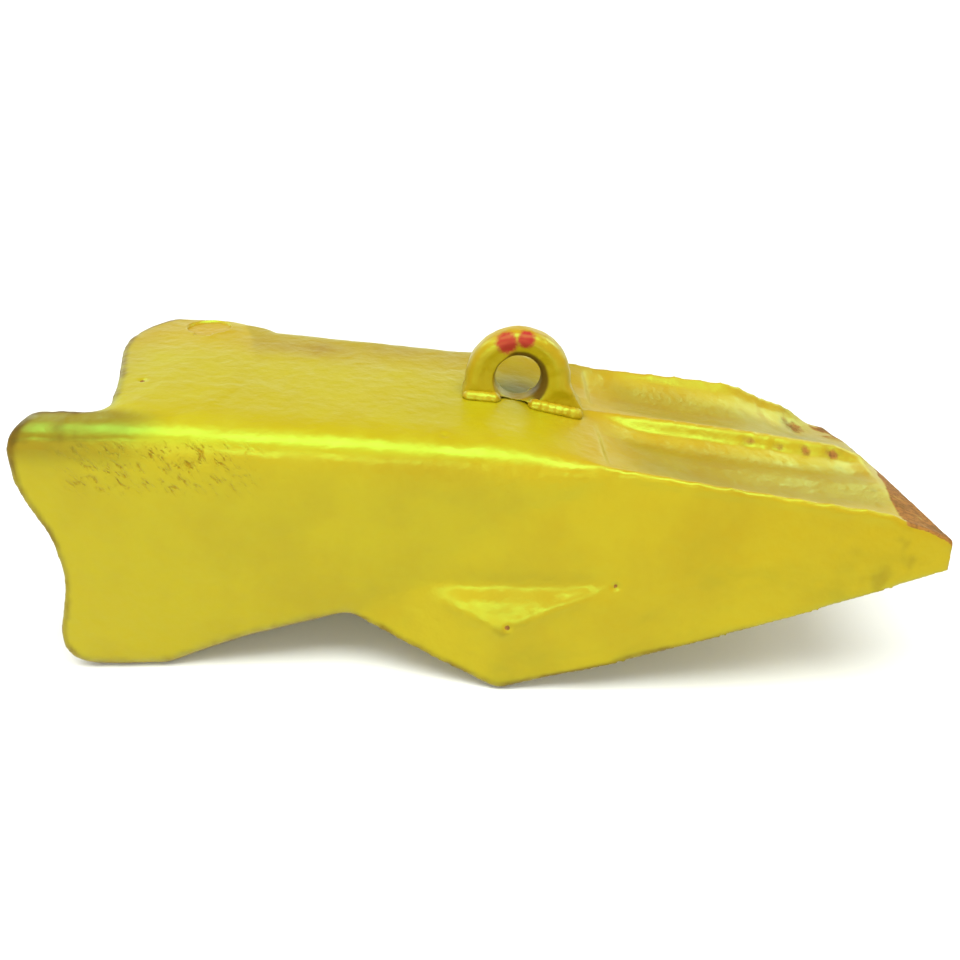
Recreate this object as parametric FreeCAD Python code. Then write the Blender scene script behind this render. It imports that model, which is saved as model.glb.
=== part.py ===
# Bucket tooth for a large excavator: a hollow cast tooth that slips over the adapter nose on the
# bucket lip, the lifting eye welded to its roof, and the sprung lock pin that holds it on.
#
# Frame, in mm: +X runs from the socket mouth to the digging edge, +Y to the lock side, +Z up.
# The tooth stands on its heel and the rear of its belly.  The origin is the middle of its footprint.
# Shapes are drawn in the tooth's own frame, with x = 0 at the rearmost ear and z = 0 on the axis
# of the socket, and put_down() moves them to the frame above.
import FreeCAD, Part
import math
import os

from FreeCAD import Vector

# ---- driving dimensions ----
LENGTH = 640.0              # rearmost ear to digging edge
FLOOR_DROP = 104.0          # socket axis above the floor
WALL_REAR_HALF = 117.5      # half-width of the socket at its mouth
WALL_TAPER = 0.052          # half-width lost per mm towards the blade
ROOF_REAR = 95.5            # roof height over the raised mouth band

# Socket stations: x, roof height, belly height, rounding of the upper long edges
SOCKET_STATIONS = (
    (0.0, ROOF_REAR, -FLOOR_DROP, 20.0),
    (80.0, ROOF_REAR, -FLOOR_DROP, 20.0),
    (140.0, 91.5, -80.0, 20.0),
    (215.0, 87.0, -58.5, 19.0),
    (330.0, 78.5, -58.0, 15.0),
    (400.0, 64.0, -52.0, 7.0),
)
BELLY_ROUND = 10.0          # rounding of the lower long edges

# Nose cavity stations: x, half-width, top, bottom, corner radius
CAVITY_STATIONS = (
    (-20.0, 91.0, 72.0, -76.0, 34.0),
    (80.0, 86.0, 68.0, -74.0, 34.0),
    (140.0, 82.0, 61.0, -53.0, 30.0),
    (215.0, 76.0, 54.0, -35.0, 28.0),
    (292.0, 64.0, 44.0, -30.0, 24.0),
)
CAVITY_END_ROUND = 16.0     # rounding round the blind end of the cavity

# Blade
HEEL_X = 329.0
HEEL_HALF = 131.0           # half-width at the heel, the widest place
BOTTOM_BULGE = 5.0          # how far the underside bows below a straight line, at its middle
TIP_BOTTOM = 6.0
TIP_TOP = 27.0
TIP_FAR_TOP = 10.0          # the edge is worn thinner towards the lock side
RIB_START_X = 395.0
CREASE_END_X = 419.0        # where the ledge's crease fades out on the blade's side
RIB_START_Z = 67.5
RIB_FALL = 0.105            # height lost per mm along the ribs
SIDE_BATTER = 0.242         # outward lean of the blade's sides per mm of height
SIDE_SPREAD = 0.057         # half-width gained per mm from the heel to the digging edge
FLUTE_BANK = 9.0            # width of the steep bank beside each outer rib
BANK_DROP = 1.6             # fall of that bank and of the flute's floor, as parts of the depth
FLOOR_DROP_PART = 1.25
FLUTE_FLOOR_AT = 0.42       # where the floor lies between the middle (0) and the outer rib (1)
CREASE_AT = (0.42, 0.45)    # where the side's faint crease runs ahead of the ledge, by height
MIDDLE_RIB_LOWER = 1.5      # how far the middle rib starts below the outer two

# Lifting eye
EYE_X = 339.0
EYE_HOLE_Z = 95.5
EYE_HOLE_R = 17.5
EYE_OUTER_Z = 92.5          # the hole sits higher than the ring's own centre
EYE_OUTER_R = 39.0
EYE_WIDTH = 22.0
EYE_ROUND = 6.5
EYE_FOOT_REAR = 296.0
EYE_FOOT_FRONT = 390.0
EYE_FOOT_HALF = 11.5
EYE_LIP = 6.0               # bevel round both mouths of the eye's hole
EYE_BURIED_Z = 60.0         # how deep the foot is drawn before its underside is cut to the roof
EYE_REAR_TOE = 81.0         # heights of the foot's two toes
EYE_FRONT_TOE = 72.0
EYE_SHOULDER = 35.0         # from the eye's middle to where the foot leaves the ring
WELD_R = 6.5
WELD_REAR_END = 320.0       # the beads stop on either side of the hole, clear of a shackle's pin
WELD_FRONT_START = 353.0

# Lock pin and its housing on the far wall
PIN_X = 78.0
PIN_Y = 92.0
PIN_R = 18.0
PIN_FIT = 0.4               # radial room round the pin in its bore
PIN_BOTTOM = -58.0
PIN_TOP = 81.0
PIN_CHAMFER = 3.0
CAP_TOP = 94.5
CAP_KEY_GAP = 0.3           # room ahead of the tongue that fills the keyway
KEY_DEPTH_FIT = 1.2         # room ahead of the latch in its keyway
BOSS_HALF_LENGTH = 31.0
BOSS_OUTER_Y = 125.0
BOSS_CHAMFER = 13.0
BOSS_BOTTOM = -74.0
BOSS_REAR_RUN = 12.0        # how far the boss slopes into the wall behind and ahead of the pin
BOSS_FRONT_RUN = 22.0
BOSS_RAMP = 40.0            # height over which its underside slopes out of the wall
BOSS_BURIED = 4.0
KNOCKOUT_R = 7.0
KNOCKOUT_SHIFT = 5.0        # the knock-out hole is off the pin's axis, clear of the socket
LATCH_LOW = -12.0
LATCH_HIGH = 30.0
LATCH_HALF = 7.0
LATCH_PROUD = 3.0
LATCH_THICK = 7.0
LATCH_LAND = 0.2            # flat left between the latch's slanted nose and its front face
CUSHION_THICK = 9.0
SLIDE_GAP = 0.3
OVERCUT = 10.0              # how far a cutting shape runs past the face it opens


def put_down(shape):
    """Move a shape from the tooth's own frame to the part's frame."""
    shape.translate(Vector(-LENGTH / 2, 0, FLOOR_DROP))
    return shape


def turned_over(shape):
    """The same shape turned half a turn about the socket axis."""
    copy = shape.copy()
    copy.rotate(Vector(0, 0, 0), Vector(1, 0, 0), 180)
    return copy


def wall_half(x):
    return WALL_REAR_HALF - WALL_TAPER * x


def rounded_box_wire(x, half, top, bottom, radius, low_radius):
    """Rectangle with round corners, the lower two of their own radius, in the plane across at x."""
    corners = ((half, top, radius, 0), (-half, top, radius, 90),
               (-half, bottom, low_radius, 180), (half, bottom, low_radius, 270))
    edges = []
    ends = []
    for y, z, radius, start in corners:
        centre = Vector(x, y - math.copysign(radius, y), z - radius if z == top else z + radius)
        points = []
        for step in (0, 45, 90):
            angle = math.radians(start + step)
            points.append(centre + Vector(0, radius * math.cos(angle), radius * math.sin(angle)))
        ends.append(points)
    for index, points in enumerate(ends):
        edges.append(Part.Arc(*points).toShape())
        following = ends[(index + 1) % len(ends)]
        edges.append(Part.makeLine(points[2], following[0]))
    return Part.Wire(edges)


def loft(wires):
    return Part.makeLoft(wires, True, True)


def prism(points, direction):
    """Closed polygon pushed along a direction."""
    wire = Part.makePolygon(list(points) + [points[0]])
    return Part.Face(wire).extrude(direction)


def smooth_outline_prism(curve_points, corner_points, direction):
    """Prism whose outline is a smooth curve closed by straight sides through the corner points."""
    curve = Part.BSplineCurve()
    curve.interpolate(list(curve_points))
    edges = [curve.toShape()]
    chain = [curve_points[-1]] + list(corner_points) + [curve_points[0]]
    for start, end in zip(chain, chain[1:]):
        edges.append(Part.makeLine(start, end))
    return Part.Face(Part.Wire(edges)).extrude(direction)


def socket_outside():
    wires = []
    for x, top, bottom, radius in SOCKET_STATIONS:
        low_radius = min(BELLY_ROUND, radius)
        wires.append(rounded_box_wire(x, wall_half(x), top, bottom, radius, low_radius))
    return loft(wires)


def nose_cavity():
    wires = []
    for x, half, top, bottom, radius in CAVITY_STATIONS:
        wires.append(rounded_box_wire(x, half, top, bottom, radius, radius))
    end_x, half, top, bottom, radius = CAVITY_STATIONS[-1]
    inset = CAVITY_END_ROUND
    end_radius = radius - inset / 2
    wires.append(rounded_box_wire(
        end_x + inset, half - inset, top - inset, bottom + inset, end_radius, end_radius))
    return loft(wires)


def rear_cutters():
    """What is taken off behind the socket: the near ear's edge and the slanted rear of the roof.

    The lock side and the belly are the same cuts turned over, as the tooth twists onto the nose,
    but the roof's far corner is blunter than the belly's.
    """
    reach = 160.0
    behind = -60.0
    wall_inside = 70.0
    roof_inside = 60.0
    roof_reach = 80.0
    ear_edge = [Vector(x, -reach, z) for x, z in (
        (84, 104), (24, 98), (6, 90), (-1, 66), (5, 37), (14, 15), (18, -8), (17, -32), (12, -52),
        (7, -74), (10, -90), (22, -100), (46, -106))]
    wall_cut = smooth_outline_prism(
        ear_edge, (Vector(behind, -reach, -106), Vector(behind, -reach, 104)),
        Vector(0, reach - wall_inside, 0))
    inner_edge = ((-20, -91), (30, -91), (53, -82), (53, -60), (36, 0), (24, 46))
    cutters = [wall_cut, turned_over(wall_cut)]
    for outer_end, over in ((((26, 80), (36, 103), (54, 122)), False),
                            (((21, 80), (10, 106), (-6, 122)), True)):
        edge = [Vector(x, y, roof_inside) for x, y in inner_edge + outer_end]
        corners = (Vector(behind, edge[-1].y, roof_inside), Vector(behind, -90, roof_inside))
        cut = smooth_outline_prism(edge, corners, Vector(0, 0, roof_reach))
        cutters.append(turned_over(cut) if over else cut)
    return cutters


def rib_height(x):
    return RIB_START_Z - RIB_FALL * (x - RIB_START_X)


def blade_side(x, z):
    """Half-width of the blade's leaning side at a place."""
    return HEEL_HALF + SIDE_SPREAD * (x - HEEL_X) - SIDE_BATTER * (z + FLOOR_DROP)


def blade_bottom(x):
    along = (x - HEEL_X) / (LENGTH - HEEL_X)
    straight = -FLOOR_DROP + (TIP_BOTTOM + FLOOR_DROP) * along
    return straight - BOTTOM_BULGE * 4 * along * (1 - along)


def blade_wire(x, sides, near_rib, mid_rib, far_rib, depth):
    """Section of the blade: leaning sides, three ribs and the two flutes between them.

    sides is the list of (half-width, height) from the bottom edge up to just under the rib, and
    each rib is (half-width, height).
    """
    near = [Vector(x, -half, z) for half, z in sides] + [Vector(x, -near_rib[0], near_rib[1])]
    far = [Vector(x, half, z) for half, z in sides] + [Vector(x, far_rib[0], far_rib[1])]
    middle = Vector(x, 0, mid_rib)
    edges = []
    for start, end in zip(near, near[1:]):
        edges.append(Part.makeLine(start, end))
    for outer, sign in ((near[-1], 1), (far[-1], -1)):
        bank = outer + Vector(0, sign * FLUTE_BANK, -BANK_DROP * depth)
        floor = Vector(x, outer.y * FLUTE_FLOOR_AT, (outer.z + mid_rib) / 2 - FLOOR_DROP_PART * depth)
        poles = [outer, bank, floor, middle]
        if sign < 0:
            poles.reverse()
        flute = Part.BezierCurve()
        flute.setPoles(poles)
        edges.append(flute.toShape())
    far.reverse()
    for start, end in zip(far, far[1:]):
        edges.append(Part.makeLine(start, end))
    edges.append(Part.makeLine(far[-1], near[0]))
    return Part.Wire(edges)


def blade():
    """Wedge from inside the socket's front to the digging edge, with the flared heel.

    Behind the heel each station is the bottom edge, the arris of the ledge and the ledge's crease
    on the socket wall, all under a flat top that is buried in the socket.
    """
    buried_half = 94.0
    rear_stations = (
        (213.0, 60.0, ((104.0, -55.0), (103.0, -44.0), (102.0, -38.0))),
        (280.0, 66.0, ((121.0, -84.0), (103.2, -28.0), (102.5, -24.0))),
        (HEEL_X, 72.0, ((HEEL_HALF, -FLOOR_DROP), (123.5, -55.0), (107.0, -21.0))),
    )
    wires = []
    for x, top, sides in rear_stations:
        wires.append(blade_wire(x, sides, (buried_half, top), top, (buried_half, top), 0))
    # x, near rib height, middle rib height, far rib height, flute depth; None follows the rib line
    stations = (
        (372.0, None, None, None, 1.0),
        (CREASE_END_X, None, 63.5, None, 9.0),
        (470.0, None, 59.0, None, 14.0),
        (540.0, None, 50.5, 51.0, 15.0),
        (562.0, None, 47.0, 44.0, 15.0),
        (594.0, None, 43.0, 25.0, 13.0),
        (618.0, 37.0, 35.0, 13.0, 5.0),
        (LENGTH, TIP_TOP, 18.0, TIP_FAR_TOP, 0.0),
    )
    for x, near_z, mid_z, far_z, depth in stations:
        low = blade_bottom(x)
        near_z = rib_height(x) if near_z is None else near_z
        mid_z = rib_height(x) - MIDDLE_RIB_LOWER if mid_z is None else mid_z
        far_z = rib_height(x) if far_z is None else far_z
        if x < CREASE_END_X:
            crease = ((118.5, -35.0), (110.5, -17.5))
        else:
            rise = min(near_z, far_z) - low
            crease = tuple((blade_side(x, low + part * rise), low + part * rise)
                           for part in CREASE_AT)
        sides = ((blade_side(x, low), low),) + crease
        near_rib = (blade_side(x, near_z), near_z)
        far_rib = (blade_side(x, far_z), far_z)
        wires.append(blade_wire(x, sides, near_rib, mid_z, far_rib, depth))
    return loft(wires)


def lock_boss():
    """Thickening of the lock side's wall round the pin, flush with the roof."""
    inner = PIN_Y - PIN_R
    wall = wall_half(PIN_X)
    rear = PIN_X - BOSS_HALF_LENGTH
    front = PIN_X + BOSS_HALF_LENGTH
    outline = (
        (rear - BOSS_REAR_RUN, inner), (rear - BOSS_REAR_RUN, wall), (rear, BOSS_OUTER_Y),
        (front, BOSS_OUTER_Y), (front + BOSS_FRONT_RUN, wall), (front + BOSS_FRONT_RUN, inner))
    boss = prism([Vector(x, y, BOSS_BOTTOM) for x, y in outline],
                 Vector(0, 0, ROOF_REAR - BOSS_BOTTOM))
    band_end = SOCKET_STATIONS[1][0]
    roof_end = SOCKET_STATIONS[2][0]
    under_roof = prism([Vector(x, 0, z) for x, z in (
        (0, BOSS_BOTTOM), (0, ROOF_REAR), (band_end, ROOF_REAR),
        (roof_end, roof_at(roof_end)), (roof_end, BOSS_BOTTOM))],
        Vector(0, 2 * BOSS_OUTER_Y, 0))
    ramp = prism([Vector(0, y, z) for y, z in (
        (inner, BOSS_BOTTOM), (wall - BOSS_BURIED, BOSS_BOTTOM),
        (BOSS_OUTER_Y, BOSS_BOTTOM + BOSS_RAMP), (BOSS_OUTER_Y, ROOF_REAR - BOSS_CHAMFER),
        (BOSS_OUTER_Y - BOSS_CHAMFER, ROOF_REAR), (inner, ROOF_REAR))],
        Vector(2 * roof_end, 0, 0))
    return boss.common(ramp).common(under_roof)


def pin_bore():
    """Pin bore from the roof down, its keyway for the latch and the small knock-out hole."""
    depth = ROOF_REAR + OVERCUT - PIN_BOTTOM
    bore = Part.makeCylinder(PIN_R + PIN_FIT, depth, Vector(PIN_X, PIN_Y, PIN_BOTTOM))
    width = 2 * (LATCH_HALF + SLIDE_GAP)
    reach = PIN_R + LATCH_PROUD + KEY_DEPTH_FIT
    keyway = Part.makeBox(width, reach, depth, Vector(PIN_X - width / 2, PIN_Y - reach, PIN_BOTTOM))
    below = -FLOOR_DROP - OVERCUT
    knockout = Part.makeCylinder(KNOCKOUT_R, PIN_BOTTOM + OVERCUT - below,
                                 Vector(PIN_X, PIN_Y + KNOCKOUT_SHIFT, below))
    return bore.fuse(keyway).fuse(knockout)


def tooth_body():
    solid = socket_outside().fuse(blade()).fuse(lock_boss())
    solid = solid.cut(nose_cavity())
    for cutter in rear_cutters():
        solid = solid.cut(cutter)
    solid = solid.cut(pin_bore())
    return max(solid.removeSplitter().Solids, key=lambda s: s.Volume)


def lifting_eye(body):
    """Round eye on a flared foot, its underside cut to the roof."""
    y0 = -EYE_WIDTH / 2
    ring = Part.makeCylinder(EYE_OUTER_R, EYE_WIDTH, Vector(EYE_X, y0, EYE_OUTER_Z),
                             Vector(0, 1, 0))
    ring = ring.makeFillet(EYE_ROUND, [e for e in ring.Edges if e.Length > 3 * EYE_OUTER_R
                                       and abs(e.BoundBox.YLength) < 1])
    foot = prism([Vector(x, -EYE_FOOT_HALF, z) for x, z in (
        (EYE_FOOT_REAR, EYE_BURIED_Z), (EYE_FOOT_REAR, EYE_REAR_TOE),
        (EYE_X - EYE_SHOULDER, EYE_HOLE_Z), (EYE_X + EYE_SHOULDER, EYE_HOLE_Z),
        (EYE_FOOT_FRONT, EYE_FRONT_TOE), (EYE_FOOT_FRONT, EYE_BURIED_Z))],
        Vector(0, 2 * EYE_FOOT_HALF, 0))
    hole = Part.makeCylinder(EYE_HOLE_R, 2 * EYE_WIDTH, Vector(EYE_X, -EYE_WIDTH, EYE_HOLE_Z),
                             Vector(0, 1, 0))
    lips = []
    for side in (-1, 1):
        base = Vector(EYE_X, side * (EYE_FOOT_HALF + 1), EYE_HOLE_Z)
        lips.append(Part.makeCone(EYE_HOLE_R + EYE_LIP + 1, EYE_HOLE_R, EYE_LIP, base,
                                  Vector(0, -side, 0)))
    eye = ring.fuse(foot).cut(hole)
    for lip in lips:
        eye = eye.cut(lip)
    eye = eye.cut(body)
    return max(eye.Solids, key=lambda s: s.Volume)


def eye_weld(body, eye, side, start_x, end_x):
    """Weld bead in the corner between the roof and one side of the eye's foot."""
    y = side * EYE_FOOT_HALF
    start = Vector(start_x, y, roof_at(start_x))
    end = Vector(end_x, y, roof_at(end_x))
    bead = Part.makeCylinder(WELD_R, (end - start).Length, start, end - start)
    for centre in (start, end):
        bead = bead.fuse(Part.makeSphere(WELD_R, centre))
    bead = bead.cut(body).cut(eye)
    return max(bead.Solids, key=lambda s: s.Volume)


def roof_at(x):
    """Roof height on the centre line, from the socket's stations or the start of the ribs."""
    heights = [(station[0], station[1]) for station in SOCKET_STATIONS[:-1]]
    heights.append((RIB_START_X, RIB_START_Z - 1.0))
    for (x0, z0), (x1, z1) in zip(heights, heights[1:]):
        if x <= x1:
            return z0 + (z1 - z0) * (x - x0) / (x1 - x0)
    return z1


def lock_pin_body():
    """Steel pin with chamfered ends and a pocket on its nose side for the latch."""
    pin = Part.makeCylinder(PIN_R, PIN_TOP - PIN_BOTTOM, Vector(PIN_X, PIN_Y, PIN_BOTTOM))
    ends = [e for e in pin.Edges if abs(e.BoundBox.ZLength) < 0.01]
    pin = pin.makeChamfer(PIN_CHAMFER, ends)
    depth = LATCH_THICK + CUSHION_THICK
    front = PIN_Y - PIN_R - LATCH_PROUD
    pocket = Part.makeBox(2 * (LATCH_HALF + SLIDE_GAP), depth, LATCH_HIGH - LATCH_LOW + 2 * SLIDE_GAP,
                          Vector(PIN_X - LATCH_HALF - SLIDE_GAP, front, LATCH_LOW - SLIDE_GAP))
    return pin.cut(pocket).Solids[0]


def lock_pin_latch():
    """Hard steel detent plate, rounded at its top and bottom to ride over the nose."""
    front = PIN_Y - PIN_R - LATCH_PROUD
    plate = Part.makeBox(2 * LATCH_HALF, LATCH_THICK, LATCH_HIGH - LATCH_LOW,
                         Vector(PIN_X - LATCH_HALF, front, LATCH_LOW))
    nose_edges = [e for e in plate.Edges
                  if e.BoundBox.YMax < front + 0.01 and e.BoundBox.ZLength < 0.01]
    return plate.makeChamfer(LATCH_PROUD - LATCH_LAND, nose_edges).Solids[0]


def lock_pin_cushion():
    """Rubber block bonded behind the latch."""
    front = PIN_Y - PIN_R - LATCH_PROUD + LATCH_THICK
    return Part.makeBox(2 * LATCH_HALF, CUSHION_THICK, LATCH_HIGH - LATCH_LOW,
                        Vector(PIN_X - LATCH_HALF, front, LATCH_LOW))


def lock_pin_cap():
    """Rubber cap pressed on the head of the pin, with a tongue that fills the keyway."""
    height = CAP_TOP - PIN_TOP
    cap = Part.makeCylinder(PIN_R + PIN_FIT - SLIDE_GAP, height, Vector(PIN_X, PIN_Y, PIN_TOP))
    tongue_reach = PIN_R + LATCH_PROUD + KEY_DEPTH_FIT - CAP_KEY_GAP
    tongue = Part.makeBox(2 * LATCH_HALF, tongue_reach, height,
                          Vector(PIN_X - LATCH_HALF, PIN_Y - tongue_reach, PIN_TOP))
    return cap.fuse(tongue).removeSplitter().Solids[0]


def main():
    body = tooth_body()
    eye = lifting_eye(body)
    nodes = {
        "tooth_body": body,
        "lifting_eye": eye,
        "eye_weld_near_rear": eye_weld(body, eye, -1, EYE_FOOT_REAR + WELD_R, WELD_REAR_END),
        "eye_weld_near_front": eye_weld(body, eye, -1, WELD_FRONT_START, EYE_FOOT_FRONT - WELD_R),
        "eye_weld_far_rear": eye_weld(body, eye, 1, EYE_FOOT_REAR + WELD_R, WELD_REAR_END),
        "eye_weld_far_front": eye_weld(body, eye, 1, WELD_FRONT_START, EYE_FOOT_FRONT - WELD_R),
        "lock_pin_body": lock_pin_body(),
        "lock_pin_latch": lock_pin_latch(),
        "lock_pin_cushion": lock_pin_cushion(),
        "lock_pin_cap": lock_pin_cap(),
    }
    os.makedirs("parts", exist_ok=True)
    for name, shape in nodes.items():
        put_down(shape)
        shape.exportStep("parts/" + name + ".step")
        print(name, shape.ShapeType, shape.isValid(), round(shape.Volume / 1000, 2), "cm3")


main()
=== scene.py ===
# Looks of the bucket tooth: every CAD node is re-made as a softened, cast or welded surface in the
# place the frame gives, with procedural paint, rust, steel and rubber.  The casting's far shoulder,
# far front corner and lock boss are also drawn a few mm towards the outline of the real tooth.
import math

import bmesh
import bpy
import numpy as np
from mathutils import Matrix, Vector, noise
from mathutils.bvhtree import BVHTree


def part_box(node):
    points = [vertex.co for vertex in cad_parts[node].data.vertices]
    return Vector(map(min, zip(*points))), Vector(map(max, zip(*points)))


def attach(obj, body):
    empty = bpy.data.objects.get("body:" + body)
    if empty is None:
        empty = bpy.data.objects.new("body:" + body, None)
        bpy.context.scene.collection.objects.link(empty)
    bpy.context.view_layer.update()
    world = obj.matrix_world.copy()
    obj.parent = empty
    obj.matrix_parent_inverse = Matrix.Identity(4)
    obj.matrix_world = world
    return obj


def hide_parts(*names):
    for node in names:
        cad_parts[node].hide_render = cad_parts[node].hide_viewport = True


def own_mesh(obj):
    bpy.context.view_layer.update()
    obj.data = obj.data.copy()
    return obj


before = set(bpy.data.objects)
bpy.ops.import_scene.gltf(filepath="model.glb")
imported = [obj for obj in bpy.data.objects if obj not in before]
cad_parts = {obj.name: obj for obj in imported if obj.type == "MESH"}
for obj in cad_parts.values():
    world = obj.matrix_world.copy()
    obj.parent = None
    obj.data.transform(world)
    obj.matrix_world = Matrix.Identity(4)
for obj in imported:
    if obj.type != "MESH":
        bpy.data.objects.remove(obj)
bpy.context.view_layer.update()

MM = 0.001

# ---- places, worked out from the frame ----
BODY_LOW, BODY_HIGH = (Vector(c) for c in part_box("tooth_body"))
EYE_HIGH = Vector(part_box("lifting_eye")[1])
PIN_LOW, PIN_HIGH = (Vector(c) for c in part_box("lock_pin_body"))
CAP_HIGH = Vector(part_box("lock_pin_cap")[1])
LATCH_LOW, LATCH_HIGH = (Vector(c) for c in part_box("lock_pin_latch"))
PIN_CENTRE = (PIN_LOW + PIN_HIGH) / 2
REAR_X = BODY_LOW.x
AXIS_Z = 0.104              # height of the socket axis


def at(x, y, z):
    """A place in the tooth's own frame, in mm: x from the rearmost ear, z from the socket axis."""
    return Vector((REAR_X + x * MM, y * MM, AXIS_Z + z * MM))


EYE_BORE = at(339, 0, 95.5)


# ---- mesh helpers ----

def mesh_object(name, mesh):
    obj = bpy.data.objects.new(name, mesh)
    bpy.context.scene.collection.objects.link(obj)
    return obj


def baked(obj):
    """Replace an object's mesh by the result of its modifiers."""
    depsgraph = bpy.context.evaluated_depsgraph_get()
    mesh = bpy.data.meshes.new_from_object(obj.evaluated_get(depsgraph))
    old = obj.data
    obj.modifiers.clear()
    obj.data = mesh
    bpy.data.meshes.remove(old)
    return obj


def remeshed(name, mesh, voxel):
    obj = mesh_object(name, mesh)
    modifier = obj.modifiers.new("remesh", "REMESH")
    modifier.mode = "VOXEL"
    modifier.voxel_size = voxel
    modifier.use_smooth_shade = True
    return baked(obj)


def snapped(points, node, away_from=None, clear=0.0):
    """Points moved to the nearest place on a CAD node, except those within clear of an axis."""
    source = bmesh.new()
    source.from_mesh(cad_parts[node].data)
    tree = BVHTree.FromBMesh(source)
    source.free()
    moved = points.copy()
    for index, point in enumerate(points):
        if away_from and math.hypot(point[0] - away_from.x, point[1] - away_from.y) < clear:
            continue
        moved[index] = tree.find_nearest(Vector(point))[0]
    return moved


def points_of(mesh):
    points = np.zeros(len(mesh.vertices) * 3)
    mesh.vertices.foreach_get("co", points)
    return points.reshape(-1, 3)


def set_points(mesh, points):
    mesh.vertices.foreach_set("co", points.astype(np.float32).ravel())
    mesh.update()


def normals_of(mesh):
    normals = np.zeros(len(mesh.vertices) * 3)
    mesh.vertices.foreach_get("normal", normals)
    return normals.reshape(-1, 3)


def edges_of(mesh):
    edges = np.zeros(len(mesh.edges) * 2, dtype=np.int64)
    mesh.edges.foreach_get("vertices", edges)
    return edges.reshape(-1, 2)


def relaxed(values, edges, rounds, strength=0.5):
    """Each value moves towards the mean of its neighbours', some rounds over.

    strength is one number, or one for each value.
    """
    count = len(values)
    degree = np.bincount(edges.ravel(), minlength=count).clip(1)
    flat = values.reshape(count, -1).copy()
    for _ in range(rounds):
        for column in range(flat.shape[1]):
            total = np.bincount(edges[:, 0], flat[edges[:, 1], column], count)
            total += np.bincount(edges[:, 1], flat[edges[:, 0], column], count)
            flat[:, column] += strength * (total / degree - flat[:, column])
    return flat.reshape(values.shape)


def rough(points, size, seed, octaves=2):
    """Fractal noise of the given feature size in metres, about -1 to 1, at each point."""
    shift = Vector((seed * 7.13, seed * 3.71, seed * 5.37))
    values = np.empty(len(points))
    for index, point in enumerate(points):
        values[index] = noise.fractal(Vector(point) / size + shift, 1.0, 2.0, octaves)
    return values


def near(points, place, radius):
    """1 at a place, falling smoothly to 0 at the radius."""
    distance = np.linalg.norm(points - np.array(place), axis=1) / radius
    return np.where(distance < 1, (1 - distance ** 2) ** 2, 0)


def ramp(values, low, high):
    """0 below low, 1 above high, smooth between."""
    t = ((values - low) / (high - low)).clip(0, 1)
    return t * t * (3 - 2 * t)


def store(mesh, name, values):
    layer = mesh.attributes.new(name, "FLOAT", "POINT")
    layer.data.foreach_set("value", np.asarray(values, dtype=np.float32))


def smooth_shaded(mesh):
    mesh.polygons.foreach_set("use_smooth", np.ones(len(mesh.polygons), dtype=bool))


def edge_height(mesh, edges, rounds):
    """How far each point stands proud of its surroundings, in metres: positive on outer edges."""
    points = points_of(mesh)
    return ((points - relaxed(points, edges, rounds)) * normals_of(mesh)).sum(axis=1)


def finish_piece(obj, node, body, material):
    obj.data.materials.clear()
    obj.data.materials.append(material)
    smooth_shaded(obj.data)
    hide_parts(node)
    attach(obj, body)
    return obj


# ---- node helpers ----

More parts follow.
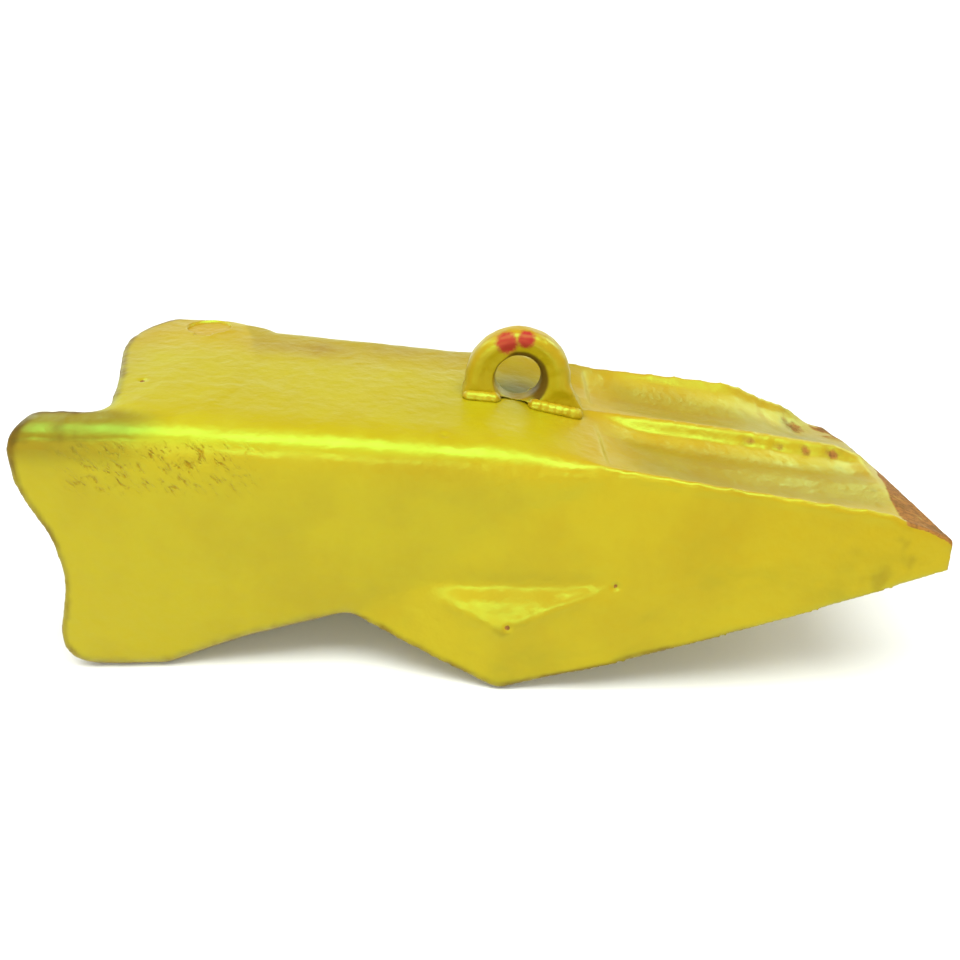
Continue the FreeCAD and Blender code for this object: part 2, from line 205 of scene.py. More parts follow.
class Nodes:
    """Short names for building a material's node tree."""

    def __init__(self, name):
        self.material = bpy.data.materials.new(name)
        self.material.use_nodes = True
        self.tree = self.material.node_tree
        self.shader = self.tree.nodes["Principled BSDF"]
        self.place = self.node("ShaderNodeTexCoord").outputs["Object"]

    def node(self, kind, **settings):
        made = self.tree.nodes.new(kind)
        for key, value in settings.items():
            setattr(made, key, value)
        return made

    def put(self, socket, value):
        if isinstance(value, bpy.types.NodeSocket):
            self.tree.links.new(value, socket)
        elif value is not None:
            socket.default_value = value

    def math(self, operation, a, b=None, c=None, clamp=False):
        made = self.node("ShaderNodeMath", operation=operation, use_clamp=clamp)
        for socket, value in zip(made.inputs, (a, b, c)):
            self.put(socket, value)
        return made.outputs[0]

    def noise(self, scale, detail=3.0, roughness=0.55, distortion=0.0, place=None):
        made = self.node("ShaderNodeTexNoise")
        self.put(made.inputs["Vector"], place or self.place)
        made.inputs["Scale"].default_value = scale
        made.inputs["Detail"].default_value = detail
        made.inputs["Roughness"].default_value = roughness
        made.inputs["Distortion"].default_value = distortion
        return made.outputs["Fac"]

    def stretched(self, scale):
        made = self.node("ShaderNodeMapping")
        self.put(made.inputs["Vector"], self.place)
        made.inputs["Scale"].default_value = scale
        return made.outputs[0]

    def slanted(self, angle, length):
        """The place turned about Y by an angle in degrees, with marks drawn out along the new Z."""
        made = self.node("ShaderNodeMapping", vector_type="TEXTURE")
        self.put(made.inputs["Vector"], self.place)
        made.inputs["Rotation"].default_value = (0.0, math.radians(angle), 0.0)
        made.inputs["Scale"].default_value = (1.0, 1.0, length)
        return made.outputs[0]

    def step(self, value, low, high, floor=0.0, top=1.0):
        made = self.node("ShaderNodeMapRange", interpolation_type="SMOOTHSTEP")
        for socket, item in zip(made.inputs, (value, low, high, floor, top)):
            self.put(socket, item)
        return made.outputs[0]

    def mix(self, amount, a, b):
        made = self.node("ShaderNodeMix", data_type="RGBA")
        self.put(made.inputs[0], amount)
        self.put(made.inputs[6], a)
        self.put(made.inputs[7], b)
        return made.outputs[2]

    def attribute(self, name):
        return self.node("ShaderNodeAttribute", attribute_name=name).outputs["Fac"]

    def ball(self, place, radius, softness=0.35):
        """1 inside a slightly ragged ball round a place, 0 outside."""
        away = self.node("ShaderNodeVectorMath", operation="DISTANCE")
        self.put(away.inputs[0], self.place)
        away.inputs[1].default_value = place
        ragged = self.math("MULTIPLY_ADD", self.noise(420.0), radius * 0.9, away.outputs["Value"])
        return self.step(ragged, radius * (1.45 + softness), radius * 1.45)

    def bump(self, height, distance, strength=1.0, under=None):
        made = self.node("ShaderNodeBump")
        made.inputs["Strength"].default_value = strength
        made.inputs["Distance"].default_value = distance
        self.put(made.inputs["Height"], height)
        if under is not None:
            self.put(made.inputs["Normal"], under)
        return made.outputs[0]

    def set(self, **values):
        names = {"colour": "Base Color", "roughness": "Roughness", "metallic": "Metallic",
                 "normal": "Normal", "specular": "Specular IOR Level", "tint": "Specular Tint"}
        for key, value in values.items():
            self.put(self.shader.inputs[names[key]], value)
        return self.material


def colour(red, green, blue):
    """Linear colour from 0-255 screen values."""
    def linear(value):
        value /= 255
        return value / 12.92 if value <= 0.04045 else ((value + 0.055) / 1.055) ** 2.4
    return (linear(red), linear(green), linear(blue), 1.0)


# ---- materials ----
YELLOW = colour(176, 136, 10)
DEEP_YELLOW = colour(170, 127, 10)
# greener yellow for the roof's painted sheen of light
ROOF_SHEEN_YELLOW = colour(170, 152, 8)
# olive for dull patches, dirt and painted shade
OLIVE = colour(130, 102, 18)
RUST = colour(148, 94, 50)
DARK_RUST = colour(112, 64, 40)
STAIN = colour(150, 102, 22)
# dark brown for pits, dirt and painted shade
GRIME_AND_SHADE = colour(84, 56, 22)
RED_MARK = colour(158, 0, 40)
HIGHLIGHT_TINT = (0.10, 1.0, 0.14, 1.0)


def paint(name, marks=(), red_marks=()):
    """Glossy yellow paint over rough casting, aged by the attributes that a mesh carries.

    wear bares the brown casting and stain darkens the paint. grime darkens and dulls it, with dirt on
    edges and painted shade in hollows, at the eye's foot and inside its hole. hollow makes it olive,
    with painted shade in hollows, flutes and the nose seat and dirt on the near ear. lime makes the
    roof greener, a painted sheen of light on it. pitted lets slanting strokes show. marks are places
    rubbed bare, as (place, radius).
    """
    n = Nodes(name)
    broad = n.noise(11.0, 4.0, 0.6)
    base = n.mix(n.step(broad, 0.40, 0.66), YELLOW, DEEP_YELLOW)
    dull = n.noise(6.0, 5.0, 0.65, 0.6)
    base = n.mix(n.step(dull, 0.54, 0.76, 0.0, 0.4), base, OLIVE)
    # a greener roof: painted sheen of light on it
    base = n.mix(n.attribute("roof_sheen"), base, ROOF_SHEEN_YELLOW)
    base = n.mix(n.math("MULTIPLY", n.attribute("stain"), 0.8), base, STAIN)
    # olive: painted shade in hollows, and dirt
    olive_shade_and_dirt = n.attribute("olive_shade_and_dirt")
    base = n.mix(n.math("MULTIPLY", olive_shade_and_dirt, 0.75), base, OLIVE)
    speckle = n.noise(260.0, 3.0, 0.7)
    wear = n.math("MULTIPLY_ADD", n.noise(70.0, 5.0, 0.7), 0.9, n.attribute("wear"))
    worn = n.step(wear, 0.82, 1.18)
    for place, radius in marks:
        worn = n.math("MAXIMUM", worn, n.ball(place, radius))
    rust = n.mix(n.step(speckle, 0.4, 0.62), RUST, DARK_RUST)
    base = n.mix(n.math("MULTIPLY", worn, 0.92), base, rust)
    dulled = n.math("MAXIMUM", worn, n.attribute("grime_and_shade"))
    for place, radius in red_marks:
        dab = n.ball(place, radius, 0.9)
        base = n.mix(n.math("MULTIPLY", dab, 0.95), base, RED_MARK)
        dulled = n.math("MAXIMUM", dulled, n.math("MULTIPLY", dab, 0.8))
    strokes = n.step(n.noise(430.0, 2.0, 0.6, place=n.slanted(-40.0, 2.6)), 0.48, 0.66)
    pits = n.math("MULTIPLY", n.attribute("pitted"), strokes)
    base = n.mix(n.math("MULTIPLY", pits, 0.40), base, GRIME_AND_SHADE)
    gloss = n.step(n.noise(40.0, 3.0, 0.6), 0.35, 0.7, 0.32, 0.46)
    shine = n.mix(worn, gloss, (0.8, 0.8, 0.8, 1.0))
    # darker and duller: dirt on edges and painted shade
    base = n.mix(n.math("MULTIPLY", n.attribute("grime_and_shade"), 0.9), base, GRIME_AND_SHADE)
    dulled = n.math("MAXIMUM", dulled, pits)
    mirror = n.step(dulled, 0.0, 1.0, 1.0, 0.2)
    sunk = n.bump(n.math("SUBTRACT", 1.0, pits), 0.0010, 0.8)
    grain = n.bump(n.noise(320.0, 1.0, 0.5), 0.0004, 0.35, sunk)
    peel = n.bump(n.noise(95.0, 2.0, 0.5), 0.0013, 0.35, grain)
    n.shader.inputs["IOR"].default_value = 1.65
    return n.set(colour=base, roughness=shine, metallic=0.05, specular=mirror,
                 tint=HIGHLIGHT_TINT, normal=peel)


def steel(name, tone, scale_tone, stretch):
    """Machined steel with turning or grinding marks, oil haze and brown scale.

    stretch squeezes the marks' noise along each axis.
    """
    n = Nodes(name)
    lines = n.noise(300.0, 3.0, 0.7, place=n.stretched(stretch))
    haze = n.noise(45.0, 4.0, 0.6)
    base = n.mix(n.step(lines, 0.3, 0.7), tone, tuple(c * 0.72 for c in tone[:3]) + (1.0,))
    stain = n.math("MULTIPLY_ADD", n.attribute("wear"), -0.35, n.step(haze, 0.48, 0.66))
    base = n.mix(n.math("MULTIPLY", stain, 0.8, clamp=True), base, scale_tone)
    gloss = n.step(haze, 0.35, 0.65, 0.28, 0.55)
    return n.set(colour=base, roughness=gloss, metallic=0.92,
                 normal=n.bump(lines, 0.0002, 0.35, n.bump(haze, 0.0008, 0.3)))


def rubber(name, tone):
    """Matt rubber with a fine grain and dust in patches."""
    n = Nodes(name)
    grain = n.noise(900.0, 3.0, 0.6)
    dust = n.step(n.noise(60.0, 4.0), 0.45, 0.75)
    base = n.mix(n.math("MULTIPLY", dust, 0.35), tone, colour(96, 90, 80))
    return n.set(colour=base, roughness=n.step(grain, 0.3, 0.7, 0.6, 0.85), specular=0.35,
                 normal=n.bump(grain, 0.0003, 0.4))


# ---- the casting ----
VOXEL = 0.0019
PLUG_RADIUS = 0.0205        # a little wider than the bore it fills
KEY_DEPTH = 0.028           # how far down the plug's tongue reaches
CHIP_TAIL = Vector((0.006, -0.002, -0.001))     # where each chip on the rib trails off to
RIB_CHIPS = [at(521, -7, 49), at(545, -7, 46), at(567, -7, 42.5), at(590, -7, 39.5)]
NICKS = [at(412, -94, 65.5), at(424, -95, 64.5), at(410, -115, -19), at(334, -122.5, -52),
         at(64, -34, 95.5), at(286, -80, 82)]
DOTS = [at(262, -86, 83.5), at(262, -96, 79), at(262, -101, 74), at(262, -104, 67)]
ROOF_STAINS = [at(136, 62, 92), at(169, 63, 90), at(185, 63, 89), at(240, 80, 86)]


def hole_plug():
    """Solid that fills the pin's bore, so that the softened casting can be bored cleanly again."""
    mesh = bmesh.new()
    low = PIN_LOW.z + 0.003
    high = CAP_HIGH.z + 0.001
    bmesh.ops.create_cone(
        mesh, cap_ends=True, segments=48, radius1=PLUG_RADIUS, radius2=PLUG_RADIUS, depth=high - low,
        matrix=Matrix.Translation((PIN_CENTRE.x, PIN_CENTRE.y, (low + high) / 2)))
    key = bmesh.ops.create_cube(mesh, size=1.0)
    width = LATCH_HIGH.x - LATCH_LOW.x + 0.004
    reach = PIN_CENTRE.y - (LATCH_LOW.y - 0.003)
    scale = Matrix.Diagonal((width, reach, KEY_DEPTH, 1.0))
    move = Matrix.Translation((PIN_CENTRE.x, PIN_CENTRE.y - reach / 2, high - KEY_DEPTH / 2))
    bmesh.ops.transform(mesh, matrix=move @ scale, verts=key["verts"])
    return mesh


def bore_cutter():
    """The pin's bore with its keyway, at the CAD's own sizes, as one upright prism."""
    radius = (PIN_HIGH.x - PIN_LOW.x) / 2 + 0.0004
    half = (LATCH_HIGH.x - LATCH_LOW.x) / 2 + 0.0003
    front = LATCH_LOW.y - 0.0012
    opening = math.asin(half / radius)
    outline = [(PIN_CENTRE.x - half, front), (PIN_CENTRE.x + half, front)]
    steps = 72
    for step in range(steps + 1):
        angle = -math.pi / 2 + opening + (2 * math.pi - 2 * opening) * step / steps
        outline.append((PIN_CENTRE.x + radius * math.cos(angle),
                        PIN_CENTRE.y + radius * math.sin(angle)))
    mesh = bmesh.new()
    ring = [mesh.verts.new((x, y, PIN_LOW.z - 0.0002)) for x, y in outline]
    face = mesh.faces.new(ring)
    raised = bmesh.ops.extrude_face_region(mesh, geom=[face])["geom"]
    top = [v for v in raised if isinstance(v, bmesh.types.BMVert)]
    bmesh.ops.translate(mesh, vec=(0, 0, BODY_HIGH.z + 0.02 - PIN_LOW.z), verts=top)
    bmesh.ops.recalc_face_normals(mesh, faces=mesh.faces)
    cutter = bpy.data.meshes.new("bore_cutter")
    mesh.to_mesh(cutter)
    mesh.free()
    return mesh_object("bore_cutter", cutter)


def plugged_body():
    """A copy of the CAD casting's mesh with its bore filled."""
    source = bmesh.new()
    source.from_mesh(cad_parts["tooth_body"].data)
    plug = hole_plug()
    joined = bpy.data.meshes.new("plug")
    plug.to_mesh(joined)
    plug.free()
    source.from_mesh(joined)
    mesh = bpy.data.meshes.new("cast_body_source")
    source.to_mesh(mesh)
    source.free()
    return mesh


def tooth_mm(points):
    """The points' x, y and z in the tooth's own frame, in mm."""
    return ((points - np.array(at(0, 0, 0))) / MM).T


def cast_shape(points, edges):
    """The casting's big shape: edges rounded as a casting's are, and the far side as in the photo.

    Returns the points, the half width of the blade at each and how near each is to the near rib's
    crest, which the skin needs.
    """
    x, y, z = tooth_mm(points)
    points = relaxed(points, edges, 7)
    socket = ramp(x, 60, 110) * (1 - ramp(x, 360, 400))
    points = relaxed(points, edges, 10, 0.5 * socket)
    roof_edges = (1 - ramp(x, 350, 400)) * ramp(x, 30, 110) * ramp(-y, 60, 84) * ramp(z, 44, 62)
    points = relaxed(points, edges, 220, 0.5 * roof_edges)
    blade_side = 131 + 0.057 * (x - 329) - 0.242 * (z + 104)
    crest = 67.5 - 0.105 * (x - 395)
    near_crest = ramp(z - crest, -12, -4) * ramp(-y, 60, 80)
    far_crest = ramp(z - crest, -30, -10) * ramp(y, 60, 80)
    rib_edges = ramp(x, 385, 415) * ramp(np.abs(y) - blade_side, -12, -5)
    points = relaxed(points, edges, 30, 0.5 * rib_edges * (near_crest + far_crest).clip(0, 1))
    far_corner = near(points, at(640, 124, 6), 0.055)
    points = relaxed(points, edges, 120, 0.5 * far_corner)
    points[:, 2] += 0.0055 * near(points, at(598, 114, 24), 0.042) * ramp(z, 6, 18)
    # the lock boss fades out ahead of the pin
    fade = ramp(x, 90, 138) * ramp(z, 46, 78) * ramp(y, 96, 118)
    points[:, 1] -= 0.014 * fade
    # the far shoulder and rib stand a little higher than the near ones
    lift = ramp(x, 285, 350) * ramp(-x, -590, -520) * ramp(y, 45, 88) * ramp(z, 20, 45)
    points[:, 2] += 0.0056 * lift
    return points, blade_side, near_crest


def ledge_height(x, y, z):
    """The crease above each ledge, hollowed, and the ledge's arris, drawn out."""
    height = np.zeros(len(x))
    crease = -21 + 0.07 * (x - 329)
    arris = -55 + 0.47 * (x - 329).clip(0, None) + 0.36 * (329 - x).clip(0, None)
    for hand in (-1, 1):
        ledge = ramp(x, 272, 300) * ramp(-x, -420, -385) * ramp(hand * y, 90, 100)
        height -= 0.0022 * ledge * np.exp(-((z - crease + 5) / 7) ** 2)
        height += 0.0012 * ledge * np.exp(-((z - arris) / 6) ** 2)
    return height


def rib_height(x, y, masks):
    """The ribs' crests, drawn up, the middle one back towards the eye, and the near flute's floor."""
    along = masks["along_ribs"]
    height = along * 0.0016 * np.exp(-((y - 1) / 5.0) ** 2)
    lead = ramp(x, 362, 376) * ramp(-x, -450, -405) * masks["upward"]
    height += 0.0016 * lead * np.exp(-((y - 1) / 4.5) ** 2)
    side_crest = ramp(np.abs(y) - masks["blade_side"], -9, -3) * masks["near_crest"]
    height += 0.0012 * ramp(x, 400, 425) * ramp(-x, -612, -590) * side_crest
    height -= along * 0.0042 * ramp(-y, 2, 12) * (1 - ramp(-y, 22, 48))
    height -= along * 0.0010 * np.exp(-((y - 15) / 6) ** 2)
    return height


def pitted_band(points, x, y, z):
    """1 in patches of the rough band along the near ear, where the chisel-like pits are."""
    band = ramp(x, 22, 50) * ramp(-x, -175, -130) * ramp(-y, 90, 100)
    band *= ramp(z, 40, 54) * ramp(-z, -86, -76)
    slant = np.stack([points[:, 0] + 0.9 * points[:, 2], points[:, 1],
                      0.3 * (points[:, 2] - 0.9 * points[:, 0])], axis=1)
    return band * ramp(rough(slant, 0.0046, 4), -0.25, 0.45)


def masks_of(points, normals, blade_side, near_crest):
    """Where the parts of the casting's skin are: mm coordinates, and masks from 0 to 1."""
    x, y, z = tooth_mm(points)
    upward = ramp(normals[:, 2], 0.3, 0.7)
    outer_skin = ramp(np.maximum(np.abs(y) - 84, np.maximum(z - 62, -z - 30)), -6, 4)
    return {
        "place": (x, y, z),
        "normals": normals,
        "blade_side": blade_side,
        "near_crest": near_crest,
        "upward": upward,
        "outside": np.maximum(outer_skin, ramp(x, 300, 316)),
        "ribbed": ramp(x, 395, 420),
        "along_ribs": ramp(x, 398, 440) * ramp(-x, -628, -600) * upward,
        "band_front": 133 - 0.0018 * (y + 20) ** 2,
        "pitted": pitted_band(points, x, y, z)}


def skin_height(points, masks):
    """How far the skin stands out from the smooth shape, in metres."""
    x, y, z = masks["place"]
    ribbed = masks["ribbed"]
    mouth_band = ramp(masks["band_front"] - x, -3, 9) * ramp(z, 80, 86)
    height = 0.00050 * rough(points, 0.060, 1) * (1 - 0.5 * ribbed)
    height += 0.00022 * rough(points, 0.013, 2, 3) * (1 - 0.4 * ribbed)
    height += 0.00014 * rough(points, 0.0055, 3)
    height += rib_height(x, y, masks)
    height += ledge_height(x, y, z)
    height += 0.0007 * mouth_band
    height -= 0.0004 * masks["pitted"]
    for places, depth, radius in ((RIB_CHIPS, 0.0009, 0.0085), (NICKS, 0.0016, 0.0045),
                                  (DOTS, 0.0010, 0.0028)):
        for place in places:
            height -= depth * near(points, place, radius)
    # the nose seat inside is smoother than the skin
    return height * (0.35 + 0.65 * masks["outside"])


def age_casting(mesh, edges, points, masks):
    """Store where the paint is worn, stained, dirty, pitted, olive, or carries painted shade or sheen.
    """
    x, y, z = masks["place"]
    normals = masks["normals"]
    upward = masks["upward"]
    ribbed = masks["ribbed"]
    pitted = masks["pitted"]
    inside = 1 - masks["outside"]
    past_band = x - masks["band_front"]
    proud = relaxed(edge_height(mesh, edges, 16) / MM, edges, 2)
    mottled = rough(points, 0.02, 6, 3)
    flute = masks["along_ribs"] * ramp(np.abs(y), 14, 30) * ramp(-np.abs(y), -90, -70)
    on_roof = ramp(z, 62, 74) * upward
    near_ear = (1 - ramp(x, 70, 112)) * ramp(-y, 84, 96) * ramp(z, 82, 90)

    bevel_line = 605 + 0.21 * (y + 109)
    bevel = ramp(x - bevel_line, -2, 5) * upward * ramp(-y, -30, -10)
    far_edge = ramp(x + 0.7 * (y - 105), 560, 590) * ramp(y, 40, 70) * upward
    wear = 0.44 * ramp(proud, 0.35, 1.5) * (1 - 0.75 * ribbed * (1 - ramp(x, 560, 610)))
    wear += 0.80 * bevel + 0.20 * bevel * mottled
    wear += 0.60 * ramp(normals[:, 0], 0.6, 0.9) * ramp(x, 628, 636)
    wear += 0.46 * far_edge * ramp(mottled, -0.9, 0.2)
    wear += 0.20 * ramp(x, 570, 640) * ramp(mottled, -0.2, 0.5)
    wear += 0.26 * ramp(-normals[:, 2], 0.5, 0.9) * ramp(x, 320, 340)
    wear += 0.34 * ramp(-normals[:, 0], 0.4, 0.9) * ramp(-x, -90, -60)
    wear += 0.22 * inside
    for place in RIB_CHIPS:
        wear += 0.52 * near(points, place, 0.0105)
        wear += 0.42 * near(points, place + CHIP_TAIL, 0.0090)
    store(mesh, "wear", wear.clip(0, 1))

    # olive: painted shade in the hollows, the flutes and the nose seat, dirt on the near ear's top,
    # and more olive on the roof ahead of the mouth band towards the far side
    olive_shade_and_dirt = 0.55 * ramp(-proud, 0.2, 1.2) + 0.62 * flute + 0.5 * inside
    olive_shade_and_dirt += 0.45 * on_roof * ramp(past_band, -1, 3) * ramp(y, 10, 90)
    olive_shade_and_dirt += 0.8 * near_ear * ramp(normals[:, 2], 0.1, 0.7)
    # painted shadow on the roof behind the eye, seen through its hole
    olive_shade_and_dirt += 0.9 * near(points, at(345, 34, 76), 0.055)
    store(mesh, "olive_shade_and_dirt", olive_shade_and_dirt.clip(0, 1))

    stain = 0.05 * on_roof * ramp(past_band, -3, 6) * ramp(mottled, -0.9, 0.4)
    stain += 0.25 * pitted
    for place in ROOF_STAINS:
        stain += 0.6 * near(points, place, 0.030)
    stain += 0.5 * ramp(z, 70, 80) * ramp(-x, -70, -20)
    stain *= 0.6 + 0.4 * mottled
    store(mesh, "stain", stain.clip(0, 1))

    rim = ramp(proud, 0.15, 0.65) * (1 - ramp(x, 64, 110) * ramp(z, -60, -40))
    rim = np.maximum(rim, ramp(proud, 0.3, 1.0) * ramp(-z, 30, 60))
    rim *= 0.55 + 0.45 * ramp(mottled, -0.5, 0.3)
    # rim is dirt on the edges; at the eye's foot the roof also gets a painted shadow
    grime_and_shade = 0.75 * rim + 0.5 * near(points, at(345, 20, 76), 0.040)
    grime_and_shade += 0.35 * ramp(x, 560, 600) * ramp(mottled, 0.2, 0.7)
    grime_and_shade += 0.38 * ramp(-x, -104, -62) * ramp(-y, 80, 94) * ramp(z, 62, 78)
    store(mesh, "grime_and_shade", grime_and_shade.clip(0, 1))
    store(mesh, "pitted", pitted)
    # painted sheen of light: the roof drawn greener, most on its near half and towards the rear
    store(mesh, "roof_sheen", on_roof * (0.80 - 0.50 * ramp(y, 10, 80)) * (1 - 0.75 * ramp(x, 330, 470)))


def cast_body():
    """The casting: its softened shape, its skin, its ageing, and the pin's bore cut clean."""
    obj = remeshed("tooth_casting", plugged_body(), VOXEL)
    mesh = obj.data
    edges = edges_of(mesh)
    points = snapped(points_of(mesh), "tooth_body", PIN_CENTRE, 0.030)
    points, blade_side, near_crest = cast_shape(points, edges)
    set_points(mesh, points)

    normals = normals_of(mesh)
    masks = masks_of(points, normals, blade_side, near_crest)
    points = points + normals * skin_height(points, masks)[:, None]
    points[:, 2] = points[:, 2].clip(0.0, None)
    set_points(mesh, points)
    age_casting(mesh, edges, points, masks)

    cutter = bore_cutter()
    cut = obj.modifiers.new("bore", "BOOLEAN")
    cut.operation = "DIFFERENCE"
    cut.solver = "EXACT"
    cut.object = cutter
    baked(obj)
    bpy.data.objects.remove(cutter)
    return finish_piece(obj, "tooth_body", "tooth", CAST_PAINT)


def softened(node, voxel, rounds, lumps=0.0, lump_size=0.008, seed=10, drawn_in=0.0):
    """A CAD node remeshed, its edges relaxed and its skin roughened, in the same place.

    drawn_in is how far its whole surface is moved inwards, and lumps how high its roughness is.
    """
    obj = remeshed(node + "_finished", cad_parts[node].data.copy(), voxel)
    edges = edges_of(obj.data)
    points = relaxed(points_of(obj.data), edges, rounds)
    set_points(obj.data, points)
    if drawn_in:
        set_points(obj.data, points - normals_of(obj.data) * drawn_in)
    if lumps:
        normals = normals_of(obj.data)
        points = points + normals * (lumps * rough(points, lump_size, seed, 3))[:, None]
        set_points(obj.data, points)
    proud = edge_height(obj.data, edges, 10) / MM
    store(obj.data, "wear", 0.35 * ramp(proud, 0.15, 0.8))
    # darker, more olive and duller in the hollows: painted shade
    store(obj.data, "olive_shade_and_dirt", 0.5 * ramp(-proud, 0.1, 0.8))
    store(obj.data, "stain", 0.3 * ramp(-proud, 0.0, 0.5))
    store(obj.data, "grime_and_shade", 0.5 * ramp(-proud, 0.2, 0.9))
    return obj


EYE_BORE_R = 0.0176         # the hole as it is drawn, a little over the CAD's 17.5 mm
BAR_SWELL = 0.0016          # how much fuller the ring is than in the CAD


def eye():
    """The lifting eye as a round bar, drawn in at the rear of its hole, with painted shade inside it.
    """
    obj = softened("lifting_eye", 0.0010, 4)
    edges = edges_of(obj.data)
    points = points_of(obj.data)
    ring = ramp(points[:, 2], BODY_HIGH.z - 0.016, BODY_HIGH.z - 0.006)
    points = relaxed(points, edges, 24, 0.5 * ring)
    axis = np.array((EYE_BORE.x, EYE_BORE.z))
    away = points[:, [0, 2]] - axis
    radius = np.linalg.norm(away, axis=1)
    rear = ramp(-away[:, 0] - 0.5 * away[:, 1], -0.008, 0.006)
    drawn = EYE_BORE_R + (radius - EYE_BORE_R).clip(0, None) * 0.35
    blend = (1 - ramp(radius, 0.0235, 0.026)) * rear
    fuller = radius + (drawn - radius) * blend
    points[:, [0, 2]] = axis + away * (fuller / radius)[:, None]
    set_points(obj.data, points)
    normals = normals_of(obj.data)
    swell = BAR_SWELL * ramp(radius, 0.0235, 0.031) * ring
    swell += 0.0004 * rough(points, 0.012, 20, 3) * ramp(radius, 0.0185, 0.022)
    set_points(obj.data, points + normals * swell[:, None])
    # painted shade on the hole's inner wall, strongest on its right and upper side
    inward = ramp(-(normals[:, [0, 2]] * away).sum(axis=1) / radius, 0.15, 0.6)
    shade = inward * (1 - ramp(radius, 0.0225, 0.0255))
    shade *= 0.35 + 0.65 * ramp(away[:, 0] + 0.5 * away[:, 1], -0.004, 0.008)
    grime_and_shade = obj.data.attributes["grime_and_shade"]
    grime_and_shade.data.foreach_set("value", shade.astype(np.float32))
    worn = obj.data.attributes["wear"]
    rubbed = 0.50 * ramp(points[:, 1], -0.001, 0.005) * ramp(radius, 0.0255, 0.029)
    worn.data.foreach_set("value", rubbed.astype(np.float32))
    return finish_piece(obj, "lifting_eye", "tooth", EYE_PAINT)


WELD_RIPPLE = 0.0055        # from one ripple to the next


def weld(node, number):
    """Weld bead with overlapping ripples."""
    obj = softened(node, 0.0008, 5, 0.0003, 0.005, 12 + number)
    points = points_of(obj.data)
    centre_y = points[:, 1].mean()
    along = points[:, 0] + 0.35 * np.abs(points[:, 1] - centre_y)
    ripple = np.abs(np.sin(along * math.pi / WELD_RIPPLE)) - 0.5
    set_points(obj.data, points + normals_of(obj.data) * (0.0003 * ripple)[:, None])
    return finish_piece(obj, node, "tooth", WELD_PAINT)


# ---- build ----
EYE_TOP = Vector((EYE_BORE.x, -0.004, EYE_HIGH.z - 0.003))
CAST_PAINT = paint("cast_yellow_paint", marks=[
    (tuple(p), radius) for places, radius in ((NICKS, 0.0016), (DOTS, 0.0010))
    for p in places])
EYE_PAINT = paint("eye_yellow_paint", red_marks=[
    (tuple(EYE_TOP + Vector((-0.010, -0.006, -0.004))), 0.0056),
    (tuple(EYE_TOP + Vector((0.004, -0.006, -0.001))), 0.0046)])
WELD_PAINT = paint("weld_yellow_paint")
CAP_PAINT = paint("cap_yellow_paint")
PIN_STEEL = steel("pin_machined_steel", colour(150, 146, 140), colour(92, 66, 46), (1.0, 1.0, 9.0))
LATCH_STEEL = steel("latch_ground_steel", colour(172, 170, 166), colour(110, 84, 60), (9.0, 1.0, 1.0))
CUSHION_RUBBER = rubber("cushion_rubber", colour(24, 24, 25))

cast_body()
eye()
for number, bead in enumerate(("near_rear", "near_front", "far_rear", "far_front")):
    weld("eye_weld_" + bead, number)
finish_piece(softened("lock_pin_body", 0.0006, 1), "lock_pin_body", "lock_pin", PIN_STEEL)
finish_piece(softened("lock_pin_latch", 0.0004, 3, drawn_in=0.00014), "lock_pin_latch", "latch",
             LATCH_STEEL)
CUSHION = finish_piece(softened("lock_pin_cushion", 0.0005, 2), "lock_pin_cushion", "lock_pin",
                       CUSHION_RUBBER)
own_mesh(CUSHION)
finish_piece(softened("lock_pin_cap", 0.0007, 2, 0.0002, 0.006, 21), "lock_pin_cap", "lock_pin",
             CAP_PAINT)

# ---- stage, light and camera ----
FLOOR_REACH = 30.0
SWEEP_START = 3.0           # where the floor starts to sweep up
SWEEP_RADIUS = 1.5
WALL_TOP = 1.8
FLOOR_SINK = 0.0002         # keeps the floor just clear of the tooth's underside


def backdrop():
    """Pale floor that sweeps up into a low wall far behind."""
    profile = [(-FLOOR_REACH, 0.0), (SWEEP_START, 0.0)]
    for step in range(1, 13):
        angle = math.radians(7.5 * step)
        profile.append((SWEEP_START + SWEEP_RADIUS * math.sin(angle),
                        SWEEP_RADIUS - SWEEP_RADIUS * math.cos(angle)))
    profile.append((SWEEP_START + SWEEP_RADIUS, WALL_TOP))
    mesh = bmesh.new()
    rows = [[mesh.verts.new((x, y, z - FLOOR_SINK)) for x in (-FLOOR_REACH, FLOOR_REACH)]
            for y, z in profile]
    for low, high in zip(rows, rows[1:]):
        mesh.faces.new((low[0], low[1], high[1], high[0]))
    data = bpy.data.meshes.new("floor")
    mesh.to_mesh(data)
    mesh.free()
    smooth_shaded(data)
    obj = mesh_object("floor", data)
    n = Nodes("pale_floor")
    tone = n.mix(n.noise(3.0, 2.0), (0.80, 0.80, 0.79, 1), (0.83, 0.83, 0.82, 1))
    separate = n.node("ShaderNodeSeparateXYZ")
    n.put(separate.inputs[0], n.place)
    n.put(n.shader.inputs["Emission Color"], (1, 1, 1, 1))
    n.put(n.shader.inputs["Emission Strength"], n.step(separate.outputs["Y"], 0.6, 3.2, 0.0, 0.6))
    data.materials.append(n.set(colour=tone, roughness=0.9, specular=0.1))


def softbox(name, place, size, power, tone=(1, 1, 1)):
    """Rectangular area light aimed at the tooth's middle."""
    light = bpy.data.lights.new(name, "AREA")
    light.shape = "RECTANGLE"
    light.size, light.size_y = size
    light.energy = power
    light.color = tone
    obj = bpy.data.objects.new(name, light)
    bpy.context.scene.collection.objects.link(obj)
    obj.location = place
    direction = Vector((0.0, 0.0, 0.1)) - Vector(place)
    obj.rotation_euler = direction.to_track_quat("-Z", "Y").to_euler()


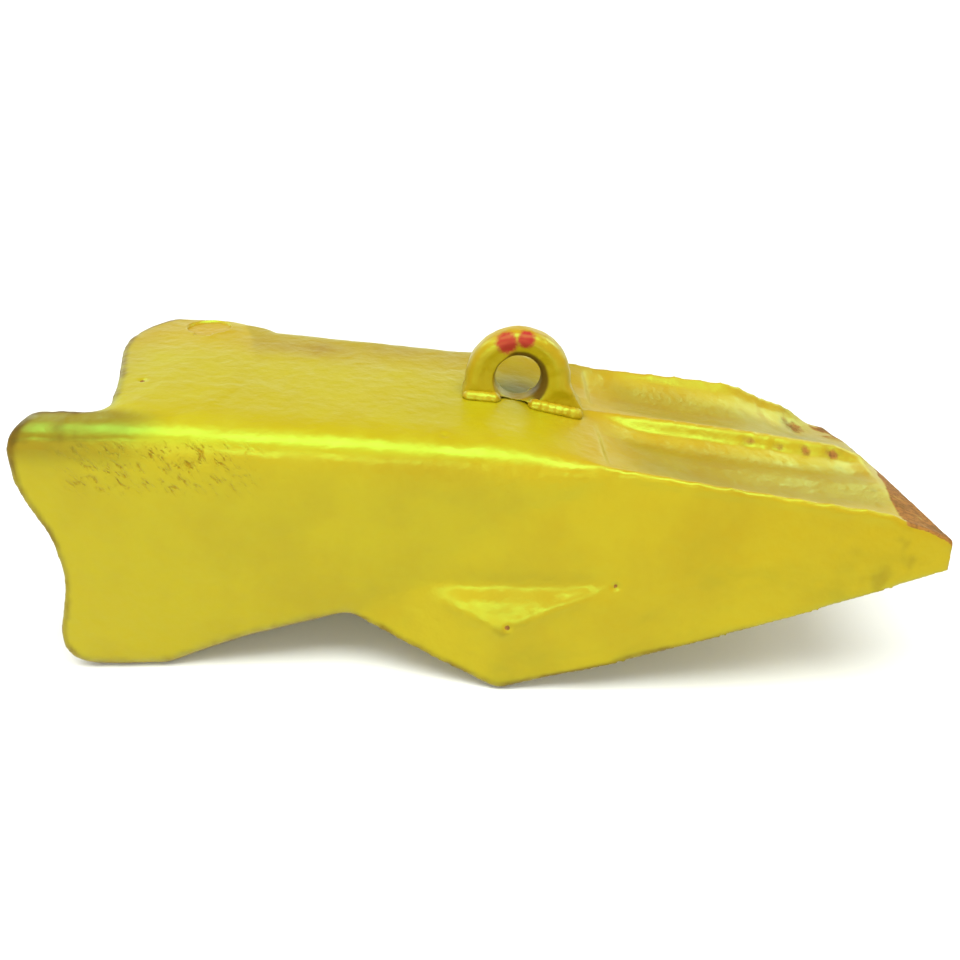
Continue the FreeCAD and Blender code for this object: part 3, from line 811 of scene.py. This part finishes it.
def camera():
    """The photograph's viewpoint, fitted to the tooth's outline."""
    azimuth, elevation, roll = (math.radians(a) for a in (-1.0, 27.98, 2.0))
    target = Vector((-0.0073, 0.0, 0.1073))
    distance = 0.7035
    focal_to_width = 860.9 / 960
    back = Vector((math.sin(azimuth) * math.cos(elevation), -math.cos(azimuth) * math.cos(elevation),
                   math.sin(elevation)))
    right = Vector((math.cos(azimuth), math.sin(azimuth), 0))
    up = back.cross(right)
    rolled_right = right * math.cos(roll) + up * math.sin(roll)
    rolled_up = up * math.cos(roll) - right * math.sin(roll)
    data = bpy.data.cameras.new("camera")
    data.sensor_width = 36.0
    data.lens = 36.0 * focal_to_width
    data.clip_start = 0.01
    obj = bpy.data.objects.new("camera", data)
    bpy.context.scene.collection.objects.link(obj)
    turn = Matrix((rolled_right, rolled_up, back)).transposed()
    obj.matrix_world = Matrix.Translation(target + back * distance) @ turn.to_4x4()
    bpy.context.scene.camera = obj


backdrop()
softbox("overhead_front", (0.0, -0.62, 2.1), (2.8, 1.15), 66, (0.96, 1.0, 0.93))
softbox("low_front", (-0.6, -2.3, 0.95), (1.8, 0.4), 19, (0.96, 1.0, 0.93))
softbox("left_rear", (-1.9, 1.2, 1.7), (1.2, 1.2), 20)
softbox("right_rear", (1.9, 1.4, 1.6), (1.2, 1.2), 20)
camera()


def studio():
    """Soft white room, brighter in front of the tooth than behind it."""
    world = bpy.data.worlds.new("studio")
    world.use_nodes = True
    tree = world.node_tree
    place = tree.nodes.new("ShaderNodeTexCoord")
    separate = tree.nodes.new("ShaderNodeSeparateXYZ")
    level = tree.nodes.new("ShaderNodeMapRange")
    for socket, value in zip(list(level.inputs)[1:], (-0.4, 0.5, 0.62, 0.22)):
        socket.default_value = value
    tree.links.new(place.outputs["Generated"], separate.inputs[0])
    tree.links.new(separate.outputs["Y"], level.inputs[0])
    background = tree.nodes["Background"]
    background.inputs["Color"].default_value = (1, 1, 1, 1)
    tree.links.new(level.outputs[0], background.inputs["Strength"])
    bpy.context.scene.world = world


studio()
bpy.context.scene.view_settings.view_transform = "Standard"
